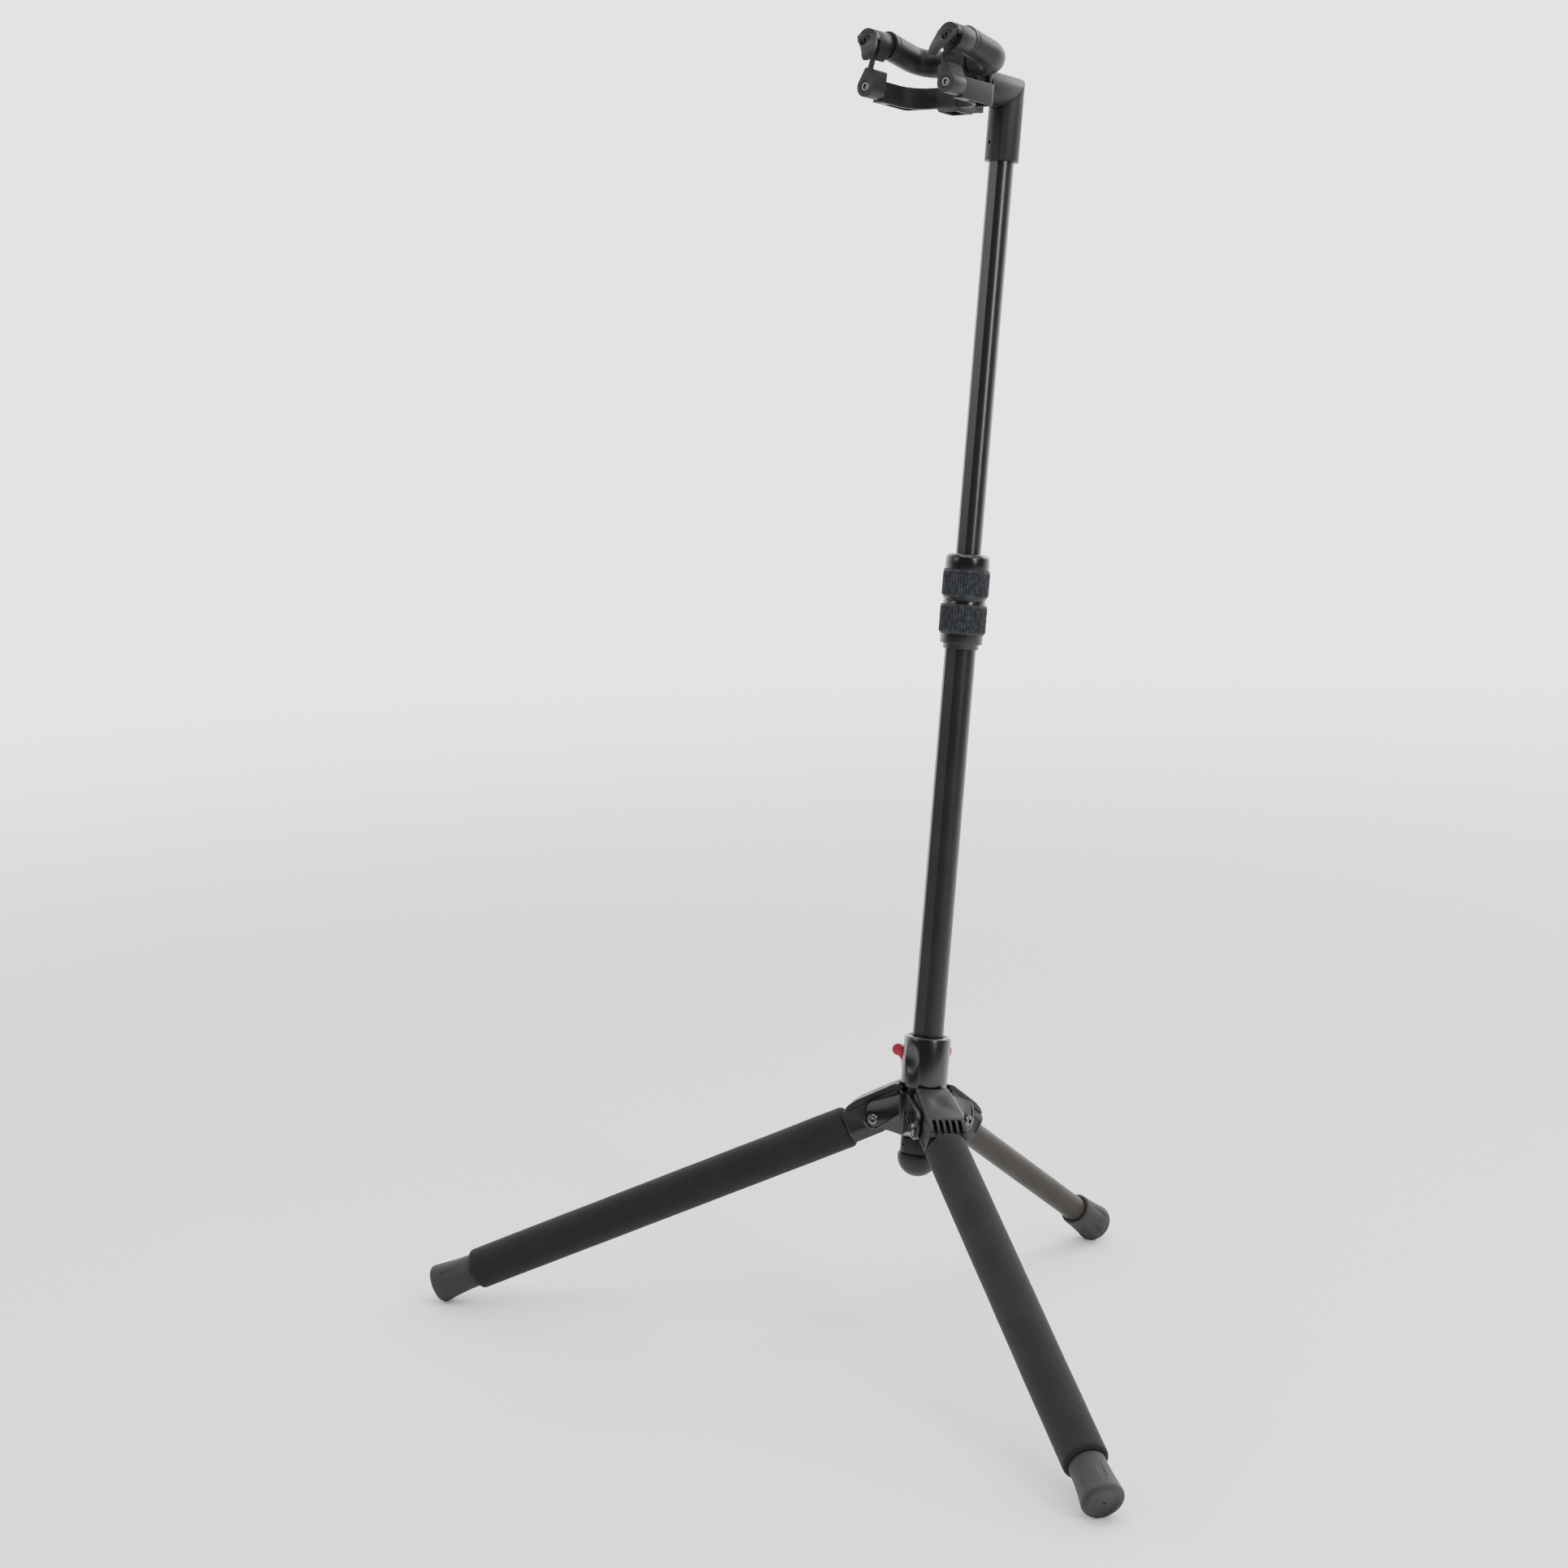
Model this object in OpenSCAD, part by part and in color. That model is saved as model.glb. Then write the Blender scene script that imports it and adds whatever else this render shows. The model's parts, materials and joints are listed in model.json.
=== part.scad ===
// Guitar stand: folding tripod, telescopic mast and a self-closing neck yoke.
// Units are millimetres. +Z is up, the front of the stand faces -Y.
// The origin is on the floor, at the centre of the footprint.

/* [Mast] */
// Outer diameter of the lower mast tube
lower_tube_d = 30; // [29:0.5:31]
// Outer diameter of the sliding upper tube
upper_tube_d = 24.2; // [23.5:0.1:24.6]
// Angle the mast leans back from vertical
lean = 9.1; // [7:0.1:11]
// Distance from the leg centre up to the clutch
clutch_z = 433.5; // [400:1:460]
// Distance from the leg centre up to the bottom of the elbow
elbow_z = 893.5; // [870:0.5:920]

/* [Tripod] */
// Angle of each leg below the plane of the hub
leg_drop = 27.3; // [25:0.1:30]
// Length of a front leg from the mast axis to the sole
front_leg_l = 532; // [500:1:560]
// Outer diameter of the leg tubes
leg_tube_d = 25; // [24:0.5:26]
// Outer diameter of the foam sleeves
foam_d = 40.8; // [38:0.2:41.6]
// Outer diameter of the rubber feet at the sole
foot_d = 38; // [36:0.5:40]

/* [Yoke] */
// Outer diameter of the rubber sleeves on the yoke arms
sleeve_d = 25; // [23:0.5:26]
// Sideways distance from the middle to the centre of an arm
arm_y = 46; // [44:0.5:48]
// Forward distance from the mast axis to the arm tips
arm_x = 126; // [122:1:130]

/* [Hidden] */
$fn = 64;

// Clearances: a sliding or turning fit, and a free gap
fit = 0.08;
gap = 0.5;
left_az = -60;
right_az = 60;
rear_az = 180;
big = 2000;

// Mast
lower_r = lower_tube_d / 2;
upper_r = upper_tube_d / 2;
tube_wall = 1.6;
flat_half_angle = 22;
lower_bottom_z = -50;
lower_top_z = clutch_z + 66;
upper_bottom_z = clutch_z - 63.5;
upper_top_z = elbow_z + 46;

// Hub and collar
collar_r = 22.5;
collar_z = 11;
collar_top_z = 60.5;
core_r = 24;
core_top_z = 5;
hub_bottom_z = -36;
pivot_x = 48;
ear_inner_y = 19.9;
ear_outer_y = 23.1;
ear_rim = 0.9;
bolt_r = 3;
bolt_head_r = 5.4;
bolt_head_y = 27.2;
head_y = 19.3;
head_end_x = 76.5;
foam_start_x = 77;

// Floor: every foot is cut flat where it stands
foot_r = foot_d / 2;
foot_l = 45;
sole_cut = 0.8;
front_half_az = 60;
front_sink = asin(sin(leg_drop) * cos(lean) - cos(leg_drop) * cos(front_half_az) * sin(lean));
rear_sink = asin(sin(leg_drop) * cos(lean) + cos(leg_drop) * sin(lean));
sole_inset = 3;
hub_h = (front_leg_l - sole_inset) * sin(front_sink) + foot_r * cos(front_sink) - sole_cut;
rear_leg_l = (hub_h + sole_cut - foot_r * cos(rear_sink)) / sin(rear_sink) + sole_inset;
foot_shift = -1.45;

// Yoke head
elbow_r = 16.2;
elbow_screw_az = -14;
elbow_axis_z = elbow_z + 63.7;
sleeve_r = sleeve_d / 2;
yoke_x = 71;
yoke_z = elbow_z + 79;
arm_bend_r = 22;
arm_rise = 9.8;
core_rod_r = 6;
claw_y = arm_y + 1.5;
claw_z = elbow_z + 87.5;
claw_r = 11.7;
claw_back_x = arm_x + 0.4;
slot_x0 = arm_x + 20.4;
slot_x1 = slot_x0 + 5;
link_y = arm_y + 1;
link_z = elbow_z + 46.5;
link_r = 9.5;
link_back_x = arm_x + 5.5;
link_front_x = link_back_x + 18.7;
frame_low_z = elbow_z + 35.5;
frame_top_z = elbow_z + 54.5;
frame_back_x = 83;
frame_wall_x = 88;
frame_arm_in = 41.5;
frame_arm_out = 52.5;
pin_r = 4;

// Everything below the placement is drawn on the mast axis: X forward, Y sideways, Z along the mast.
module placed() {
    translate([0, foot_shift, hub_h]) rotate([-lean, 0, 0]) rotate([0, 0, -90]) children();
}

module leg_frame(az) {
    rotate([0, 0, az]) rotate([0, leg_drop, 0]) children();
}

module mirrored_y(side) {
    if (side > 0) children();
    else mirror([0, 1, 0]) children();
}

// A round section with one flat at the front, which keeps the tubes from turning.
module flat_round(r, grow = 0) {
    intersection() {
        circle(r + grow);
        translate([-big / 2 + r * cos(flat_half_angle) + grow, 0]) square([big, big], center = true);
    }
}

module flat_tube(r, wall, z0, z1) {
    translate([0, 0, z0]) linear_extrude(z1 - z0) difference() {
        flat_round(r);
        flat_round(r - wall);
    }
}

module ring(r_out, r_in, z0, z1) {
    translate([0, 0, z0]) difference() {
        cylinder(h = z1 - z0, r = r_out);
        translate([0, 0, -1]) cylinder(h = z1 - z0 + 2, r = r_in);
    }
}

module along_x(x0) {
    translate([x0, 0, 0]) rotate([0, 90, 0]) children();
}

// ---- Lower mast ----
module lower_tube() {
    color("#26272a") placed() flat_tube(lower_r, tube_wall, lower_bottom_z, lower_top_z);
}

cap_r = 17.75;
cap_bottom_z = -54;
cap_top_z = -38;
ball_r = 19.75;
ball_z = -57;
spigot_r = 9;
spigot_l = 11;
cap_screw_az = -18;
cap_screw_z = -45;

module screw_place(az, z, r) {
    rotate([0, 0, az]) translate([r, 0, z]) rotate([0, 90, 0]) children();
}

module end_cap() {
    color("#1d1e20") placed() difference() {
        union() {
            translate([0, 0, cap_bottom_z]) cylinder(h = cap_top_z - cap_bottom_z, r = cap_r);
            translate([0, 0, cap_bottom_z - spigot_l]) cylinder(h = spigot_l + 1, r = spigot_r);
        }
        translate([0, 0, lower_bottom_z]) linear_extrude(cap_top_z - lower_bottom_z + 1) flat_round(lower_r);
        screw_place(cap_screw_az, cap_screw_z, lower_r - 1) cylinder(h = 6, r = 1.6);
    }
}

module end_cap_screw() {
    color("#8d9095") placed() screw_place(cap_screw_az, cap_screw_z, lower_r) cylinder(h = 1.8, r = 1.6);
}

module ball_bumper() {
    color("#2a2b2d") placed() difference() {
        translate([0, 0, ball_z]) sphere(ball_r);
        translate([0, 0, cap_bottom_z + ball_r]) cube(2 * ball_r, center = true);
        translate([0, 0, cap_bottom_z - spigot_l]) cylinder(h = spigot_l + 1, r = spigot_r);
    }
}

// ---- Clutch ----
band_r = 20.5;
grip_r = 22.35;
nut_r = 21.2;
step_h = 5;
lower_grip_z = clutch_z + 14;
lower_grip_h = 28.5;
seam_z = clutch_z + 45.7;
upper_grip_z = clutch_z + 49;
upper_grip_h = 26.5;
nut_top_z = clutch_z + 90.5;
thread_r = 17.8;
thread_top_z = clutch_z + 64;
collet_r = 15.2;

module clutch_body() {
    color("#202124") placed() difference() {
        union() {
            translate([0, 0, clutch_z]) cylinder(h = step_h, r = 17.3);
            translate([0, 0, clutch_z + step_h]) cylinder(h = seam_z - clutch_z - step_h, r = band_r);
            translate([0, 0, seam_z - 1]) cylinder(h = thread_top_z - seam_z + 1, r = thread_r);
        }
        translate([0, 0, clutch_z - 1]) linear_extrude(thread_top_z - clutch_z + 2) flat_round(lower_r);
    }
}

module grip_ring(z0, h) {
    translate([0, 0, z0]) rotate_extrude() polygon([
        [band_r, 0], [grip_r - 1.2, 0], [grip_r, 1.2], [grip_r, h - 1.2], [grip_r - 1.2, h], [band_r, h]]);
}

module lower_grip() {
    color("#3a3d42") placed() grip_ring(lower_grip_z, lower_grip_h);
}

module clutch_nut() {
    shoulder = 5.5;
    z0 = seam_z + 0.3;
    color("#202124") placed() rotate_extrude() polygon(concat(
        [[thread_r + fit, z0], [band_r, z0], [band_r, upper_grip_z + upper_grip_h],
         [nut_r, upper_grip_z + upper_grip_h]],
        [for (a = [0 : 15 : 90]) [nut_r - shoulder + shoulder * cos(a), nut_top_z - shoulder + shoulder * sin(a)]],
        [[upper_r + fit, nut_top_z], [upper_r + fit, nut_top_z - 4],
         [collet_r + fit, nut_top_z - 8], [collet_r + fit, thread_top_z + 1],
         [thread_r + fit, thread_top_z + 1]]));
}

module upper_grip() {
    color("#3a3d42") placed() grip_ring(upper_grip_z, upper_grip_h);
}

module collet() {
    color("#d8d8d2") placed() difference() {
        translate([0, 0, thread_top_z + 2.2]) cylinder(h = 15, r = collet_r);
        translate([0, 0, thread_top_z]) linear_extrude(20) flat_round(upper_r, fit);
        translate([-20, -0.8, thread_top_z]) cube([20, 1.6, 20]);
    }
}

// ---- Hub ----
recess_r = 40;
recess_depth = 2.5;
recess_z = 38;
lever_az = [-72, 178];
lever_z = 33;
lever_slot_h = 22;
lever_w = 6;
lever_pin_x = 19.2;
lever_pin_z = 26.5;
lever_pin_r = 1.2;

// Side outline of an ear, in the leg's own frame: X along the leg, Y up from its axis.
ear_outline = concat(
    [[9, 13.5], [44, 17.6], [49.5, 16.2], [53.5, 11]],
    [for (a = [20 : -20 : -100]) [pivot_x + 10.4 * cos(a), 10.4 * sin(a)]],
    [[38, -16], [30, -22.5], [20, -30], [9, -32]]);

rim_outline = concat(
    [[13, 13.2], [44, 16.8], [48.8, 15.4], [52.6, 10.6]],
    [for (a = [20 : -20 : -100]) [pivot_x + 9.6 * cos(a), 9.6 * sin(a)]],
    [[21, -4.5]]);

module ear(side) {
    centre = [34, 4];
    mirrored_y(side) {
        translate([0, ear_outer_y, 0]) rotate([90, 0, 0])
            linear_extrude(ear_outer_y - ear_inner_y) polygon(ear_outline);
        translate([0, ear_outer_y + ear_rim, 0]) rotate([90, 0, 0]) linear_extrude(ear_rim + 0.4) difference() {
            polygon(rim_outline);
            translate(centre) scale(0.9) translate(-centre) polygon(rim_outline);
        }
        translate([pivot_x, ear_outer_y + ear_rim - 0.2, 0]) rotate([90, 0, 0]) cylinder(h = 1.5, r = 7.6);
    }
}

module hub_body() {
    color("#141416") placed() difference() {
        union() {
            translate([0, 0, collar_z - 7]) cylinder(h = 8, r = 20.5);
            translate([0, 0, collar_z]) rotate_extrude() polygon([
                [0, 0], [collar_r - 0.8, 0], [collar_r, 0.8], [collar_r, 47], [collar_r - 0.6, 48.6],
                [collar_r - 2, 49.5], [0, 49.5]]);
            translate([0, 0, hub_bottom_z + 2]) cylinder(h = core_top_z - hub_bottom_z - 2, r = core_r);
            for (az = [left_az, right_az, rear_az]) leg_frame(az) {
                ear(1);
                ear(-1);
            }
        }
        translate([0, 0, -big / 2 + hub_bottom_z]) cube(big, center = true);
        translate([0, 0, -60]) linear_extrude(130) flat_round(lower_r, fit);
        translate([0, 0, collar_top_z - 8]) cylinder(h = 10, r = 18.4);
        translate([collar_r + recess_r - recess_depth, 0, recess_z]) sphere(recess_r);
        for (az = [left_az, right_az, rear_az]) leg_frame(az)
            translate([pivot_x, 40, 0]) rotate([90, 0, 0]) cylinder(h = 80, r = bolt_r);
        for (az = lever_az) rotate([0, 0, az]) {
            translate([14, -lever_w / 2 - gap, lever_z - lever_slot_h / 2]) cube([12, lever_w + 2 * gap, lever_slot_h]);
            translate([lever_pin_x, 9, lever_pin_z]) rotate([90, 0, 0]) cylinder(h = 18, r = lever_pin_r);
        }
    }
}

module collar_bush() {
    color("#3b3c3e") placed() difference() {
        translate([0, 0, collar_top_z - 8]) cylinder(h = 7.4, r = 18.4);
        translate([0, 0, collar_top_z - 10]) linear_extrude(14) flat_round(lower_r, fit);
    }
}

module button_head() {
    dome = 3.2;
    rotate_extrude() polygon(concat([[0, 0], [bolt_head_r, 0], [bolt_head_r, 0.6]],
        [for (a = [15 : 15 : 75]) [bolt_head_r - 2.6 + 2.6 * cos(a), 0.6 + (dome - 0.6) * sin(a)]],
        [[bolt_head_r - 2.6, dome], [0, dome]]));
}

module leg_bolts() {
    color("#b9bcc0") placed() for (az = [left_az, right_az, rear_az]) leg_frame(az) {
        translate([pivot_x, 0, 0]) rotate([-90, 0, 0]) difference() {
            union() {
                translate([0, 0, -ear_outer_y - 0.6]) cylinder(h = 2 * ear_outer_y + 2.5, r = bolt_r - 0.02);
                translate([0, 0, ear_outer_y + ear_rim - 0.2]) button_head();
            }
            translate([0, 0, bolt_head_y - 2.2]) cylinder(h = 4, r = 2.3, $fn = 6);
        }
    }
}

module leg_nuts() {
    color("#b9bcc0") placed() for (az = [left_az, right_az, rear_az]) leg_frame(az) {
        translate([pivot_x, 0, 0]) rotate([90, 0, 0]) translate([0, 0, ear_outer_y + ear_rim - 0.2]) difference() {
            button_head();
            translate([0, 0, 1]) cylinder(h = 4, r = 2.3, $fn = 6);
            translate([0, 0, -1]) cylinder(h = 1.3, r = bolt_r);
        }
    }
}

// A release lever: a finger pad outside the collar and a brake shoe against the tube.
module release_lever(az) {
    shoe_r = lower_r + fit + 0.35;
    color("#c8323c") placed() rotate([0, 0, az]) difference() {
        translate([0, lever_w / 2, 0]) rotate([90, 0, 0]) linear_extrude(lever_w) difference() {
            union() {
                polygon([[17, lever_z - 8.4], [lever_pin_x + 2, lever_z - 8.4], [23.4, lever_z - 6],
                    [24, lever_z + 1], [28, lever_z + 5.2], [24, lever_z + 9.2], [18, lever_z + 9.4],
                    [shoe_r - 0.6, lever_z + 9.4], [shoe_r - 0.6, lever_z - 3]]);
                translate([28.7, lever_z + 10.4]) circle(5.7);
            }
        }
        translate([0, 0, lever_z - 20]) cylinder(h = 50, r = shoe_r);
        translate([lever_pin_x, 9, lever_pin_z]) rotate([90, 0, 0]) cylinder(h = 18, r = lever_pin_r + fit);
    }
}

module lever_pins() {
    color("#b9bcc0") placed() for (az = lever_az) rotate([0, 0, az])
        translate([lever_pin_x, 8, lever_pin_z]) rotate([90, 0, 0]) cylinder(h = 16, r = lever_pin_r - 0.02);
}

module lever_springs() {
    color("#a8abb0") placed() for (az = lever_az) rotate([0, 0, az])
        translate([18.4, 0, lever_z - lever_slot_h / 2]) cylinder(h = 2, r = 1.6);
}

// ---- Legs ----
module leg_head(az) {
    outline = concat(
        [[16.5, 17.8], [20, 8], [34, -7.5]],
        [for (a = [-140 : 20 : -100]) [pivot_x + 16 * cos(a), 16 * sin(a)]],
        [[head_end_x - 2, -16.4], [head_end_x, -14], [head_end_x, 13.4], [head_end_x - 3, 16], [57, 16.4]]);
    section = [[-head_y, -6], [-10.5, -16.6], [10.5, -16.6], [head_y, -6], [head_y, 11], [cover_in_y, 18],
        [-cover_in_y, 18], [-head_y, 11]];
    color("#2b2c2f") placed() leg_frame(az) difference() {
        intersection() {
            translate([0, head_y, 0]) rotate([90, 0, 0]) linear_extrude(2 * head_y) polygon(outline);
            along_x(0) rotate([0, 0, 90]) linear_extrude(90) polygon(section);
        }
        comb_cuts(13.2);
        translate([pivot_x, 40, 0]) rotate([90, 0, 0]) cylinder(h = 80, r = bolt_r + fit);
        along_x(pivot_x + 8) cylinder(h = 60, r = leg_tube_d / 2);
        for (side = [-1, 1]) translate([67.5, side * (head_y + 1), 2.5]) cube([11, 3.2, 12], center = true);
        rotate([0, -leg_drop, 0]) translate([0, 0, -60]) cylinder(h = 140, r = core_r + gap);
    }
}

module comb_cuts(z) {
    for (i = [0 : comb_slots - 1])
        translate([comb_x0 + 4, (i - (comb_slots - 1) / 2) * comb_pitch - comb_gap / 2, z])
            cube([30, comb_gap, 20]);
}

cover_in_y = 17.4;
comb_x0 = 57;
comb_gap = 3.6;
comb_pitch = 6.4;
comb_slots = 5;

module head_cover(az) {
    color("#3b3d41") placed() leg_frame(az) difference() {
        union() {
            intersection() {
                translate([0, head_y, 0]) rotate([90, 0, 0]) linear_extrude(2 * head_y)
                    polygon([[13, 18.05], [57, 16.75], [head_end_x - 4, 16.35], [head_end_x - 3.4, 17], [68, 20.2],
                        [comb_x0, 22.4], [18, 23.6], [13, 22]]);
                linear_extrude(60) polygon([[10, 1.6 - cover_in_y], [comb_x0, 0.6 - head_y], [80, 0.6 - head_y],
                    [80, head_y - 0.6], [comb_x0, head_y - 0.6], [10, cover_in_y - 1.6]]);
            }
        }
        translate([38, 0, 23 + 29.2]) sphere(30.3);
        comb_cuts(10);
        rotate([0, -leg_drop, 0]) translate([0, 0, -60]) cylinder(h = 140, r = core_r + gap);
    }
}

module leg_tube(az, len) {
    color("#26272a") placed() leg_frame(az) along_x(pivot_x + 8) difference() {
        cylinder(h = len - pivot_x - 16, r = leg_tube_d / 2);
        translate([0, 0, -1]) cylinder(h = len, r = leg_tube_d / 2 - 1.4);
    }
}

module foam_sleeve(az) {
    r_in = leg_tube_d / 2 + 0.02;
    r_out = foam_d / 2;
    len = front_leg_l - foot_l - foam_start_x;
    soft = 3.5;
    color("#35363a") placed() leg_frame(az) along_x(foam_start_x) rotate_extrude() polygon(concat(
        [[r_in, 0]],
        [for (a = [-90 : 15 : 0]) [r_out - soft + soft * cos(a), soft + soft * sin(a)]],
        [for (a = [0 : 15 : 90]) [r_out - soft + soft * cos(a), len - soft + soft * sin(a)]],
        [[r_in, len]]));
}

module foot(az, len) {
    r_in = leg_tube_d / 2 + 0.02;
    tube_in = foot_l - 8;
    color("#4a4d52") difference() {
        placed() leg_frame(az) along_x(len - foot_l) rotate_extrude() polygon([
            [0, tube_in + 0.1], [r_in, tube_in + 0.1], [r_in, 0.1], [15.6, 0.1], [16.4, 1.2], [16.6, 12],
            [17.4, 26], [foot_r - 0.3, 37], [foot_r, foot_l - 4.5], [foot_r - 0.6, foot_l - 2],
            [foot_r - 2.6, foot_l], [12, foot_l], [11.5, foot_l - 1.2], [4, foot_l - 1.2], [3.5, foot_l - 0.3], [0, foot_l - 0.3]]);
        translate([0, 0, -big / 2]) cube(big, center = true);
    }
}

// ---- Upper mast ----
module upper_tube() {
    color("#26272a") placed() flat_tube(upper_r, 1.4, upper_bottom_z, upper_top_z);
}

module guide_bush() {
    color("#d8d8d2") placed() difference() {
        translate([0, 0, upper_bottom_z]) linear_extrude(30) flat_round(lower_r - tube_wall, -fit);
        translate([0, 0, upper_bottom_z - 1]) linear_extrude(40) flat_round(upper_r);
    }
}

flange_x = 42;
module elbow() {
    corner = elbow_axis_z + elbow_r;
    color("#3a3c3f") placed() difference() {
        union() {
            intersection() {
                translate([0, 0, elbow_z]) cylinder(h = 120, r = elbow_r);
                translate([0, 0, elbow_axis_z]) rotate([0, 45, 0]) translate([0, 0, -big / 2]) cube(big, center = true);
            }
            intersection() {
                translate([-60, 0, elbow_axis_z]) rotate([0, 90, 0]) cylinder(h = 60 + flange_x, r = elbow_r);
                translate([0, 0, elbow_axis_z]) rotate([0, 45, 0]) translate([0, 0, big / 2 - 0.001]) cube(big, center = true);
            }
        }
        translate([0, 0, elbow_z - 1]) linear_extrude(upper_top_z - elbow_z + 1) flat_round(upper_r);
        translate([-elbow_r, 0, corner]) rotate([0, 45, 0]) cube([9, 60, 9], center = true);
        difference() {
            translate([0, 0, elbow_axis_z]) rotate([0, 45, 0]) cube([90, 90, 0.7], center = true);
            cylinder(h = 1200, r = elbow_r - 0.5);
        }
        screw_place(elbow_screw_az, elbow_z + 16, upper_r - 1) cylinder(h = 8, r = 1.6);
    }
}

module elbow_screw() {
    color("#8d9095") placed() screw_place(elbow_screw_az, elbow_z + 16, upper_r) cylinder(h = 2.4, r = 1.6);
}

// ---- Yoke head ----
housing_y = 9;
housing_x1 = 89;
tower_x0 = flange_x + 4.5;
tower_x1 = 57;
tower_top_z = elbow_z + 80;
block_y = 5;
screw_y = 11.8;
spring_z = elbow_z + 47;

// Plan of a U open at the front, with rounded back corners.
module u_plan(half_w, back_x, r) {
    translate([back_x + r, -half_w]) square([arm_x + 5 - back_x - r, 2 * half_w]);
    translate([back_x, r - half_w]) square([r + 1, 2 * (half_w - r)]);
    for (side = [-1, 1]) translate([back_x + r, side * (half_w - r)]) circle(r);
}

module head_frame() {
    housing_low_z = elbow_z + 32.5;
    housing_half_w = 12;
    arm_front_x = arm_x + 5;
    color("#36383c") placed() difference() {
        union() {
            translate([0, 0, frame_low_z]) linear_extrude(frame_top_z - frame_low_z) difference() {
                u_plan(frame_arm_out, frame_back_x, 6);
                translate([0.1, 0]) u_plan(frame_arm_in, frame_wall_x, 20);
            }
            translate([0, housing_y, 0]) rotate([90, 0, 0]) linear_extrude(2 * housing_y)
                polygon([[tower_x0 - 2, frame_low_z + 2], [58, housing_low_z + 3], [62, housing_low_z + 3],
                    [62, frame_top_z - 1], [tower_x1, frame_top_z - 1], [tower_x1, tower_top_z],
                    [tower_x0 - 2, tower_top_z]]);
            translate([0, housing_half_w, 0]) rotate([90, 0, 0]) linear_extrude(2 * housing_half_w)
                polygon([[61, housing_low_z + 4], [65, housing_low_z], [84, housing_low_z],
                    [housing_x1, housing_low_z + 4], [housing_x1, frame_top_z - 4], [85, frame_top_z - 1],
                    [61, frame_top_z - 1]]);
            translate([flange_x, -15, elbow_axis_z - 19]) cube([tower_x0 - flange_x, 30, 38]);
        }
        // channel in the tower for the slide block, and the well for its spring
        translate([tower_x0 + 1, -block_y - fit, frame_low_z + 4]) cube([12, 2 * (block_y + fit), 64]);
        // pocket under the housing, then the channel under each arm
        translate([66, 3 - housing_half_w, housing_low_z - 1]) cube([18, 2 * housing_half_w - 6, 9]);
        translate([0, 0, frame_low_z - 1]) linear_extrude(14) difference() {
            u_plan(frame_arm_out - 2.4, frame_back_x + 2.4, 4);
            u_plan(frame_arm_in + 2.4, frame_wall_x - 2.4, 22);
            square([200, 50], center = true);
            translate([arm_front_x - 14, -60]) square([30, 120]);
        }
        for (side = [-1, 1]) mirrored_y(side) {
            translate([arm_front_x - 30, link_y, link_z]) rotate([0, 90, 0]) cylinder(h = 60, r = 2.5);
            for (z = [-13, 13])
                translate([flange_x - 1, screw_y, elbow_axis_z + z]) rotate([0, 90, 0]) cylinder(h = 20, r = 1.7);
        }
    }
}

module frame_screws() {
    color("#2c2d30") placed() for (y = [-screw_y, screw_y]) for (z = [-13, 13])
        translate([flange_x, y, elbow_axis_z + z]) rotate([0, 90, 0]) {
            translate([0, 0, 4.5]) cylinder(h = 1.6, r = 2.6);
            translate([0, 0, 0.2]) cylinder(h = 5, r = 1.65);
        }
}

module link_screws() {
    color("#b9bcc0") placed() for (side = [-1, 1]) translate([0, side * link_y, link_z]) rotate([0, 90, 0]) difference() {
        union() {
            translate([0, 0, link_back_x - 12]) cylinder(h = link_front_x - link_back_x + 10, r = 2.48);
            translate([0, 0, link_front_x - 3.2]) cylinder(h = 3, r = 4.6);
        }
        translate([0, 0, link_front_x - 2]) cylinder(h = 3, r = 2.2, $fn = 6);
    }
}

module return_spring() {
    color("#a8abb0") placed() translate([tower_x0 + 7, 0, 0]) ring(4.4, 3.0, frame_low_z + 4.1, spring_z + 8);
}

// The path of one arm: sideways out of the block, round a bend, then forwards.
module arm_path(r, side, tip_x, start_y, bore = 0) {
    run = tip_x - yoke_x - arm_bend_r;
    translate([yoke_x, 0, yoke_z]) rotate([0, -arm_rise, 0]) mirrored_y(side) {
        translate([0, start_y, 0]) rotate([-90, 0, 0]) difference() {
            cylinder(h = arm_y - arm_bend_r - start_y, r = r);
            if (bore > 0) translate([0, 0, -1]) cylinder(h = 80, r = bore);
        }
        translate([arm_bend_r, arm_y - arm_bend_r, 0]) rotate([0, 0, 90]) rotate_extrude(angle = 90)
            translate([arm_bend_r, 0]) difference() {
                circle(r);
                if (bore > 0) circle(bore);
            }
        translate([arm_bend_r, arm_y, 0]) rotate([0, 90, 0]) difference() {
            cylinder(h = run + 10, r = r);
            if (bore > 0) translate([0, 0, -1]) cylinder(h = run + 20, r = bore);
        }
    }
}

block_w = 13;
module yoke_core() {
    color("#55585c") placed() difference() {
        union() {
            for (side = [-1, 1]) intersection() {
                arm_path(core_rod_r, side, arm_x, 0);
                translate([-big + arm_x, -big / 2, 0]) cube([big, big, big]);
            }
            for (side = [-1, 1]) translate([arm_x - 6, side * claw_y, claw_z]) rotate([0, 90, 0])
                cylinder(h = slot_x1 - arm_x + 6.4, r = pin_r);
        }
    }
}

module slide_block() {
    color("#303236") placed() difference() {
        union() {
            translate([yoke_x - 11, -block_w, yoke_z - 11.5]) cube([24, 2 * block_w, 24]);
            translate([tower_x0 + 1 + fit, -block_y, spring_z + 8.1])
                cube([11.6, 2 * block_y, tower_top_z - spring_z - 8]);
            translate([tower_x0 + 8, -block_y, yoke_z - 11.5]) cube([14, 2 * block_y, tower_top_z - yoke_z + 11.6]);
        }
        translate([yoke_x, 0, yoke_z]) rotate([90, 0, 0]) cylinder(h = 60, r = core_rod_r, center = true);
    }
}

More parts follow.
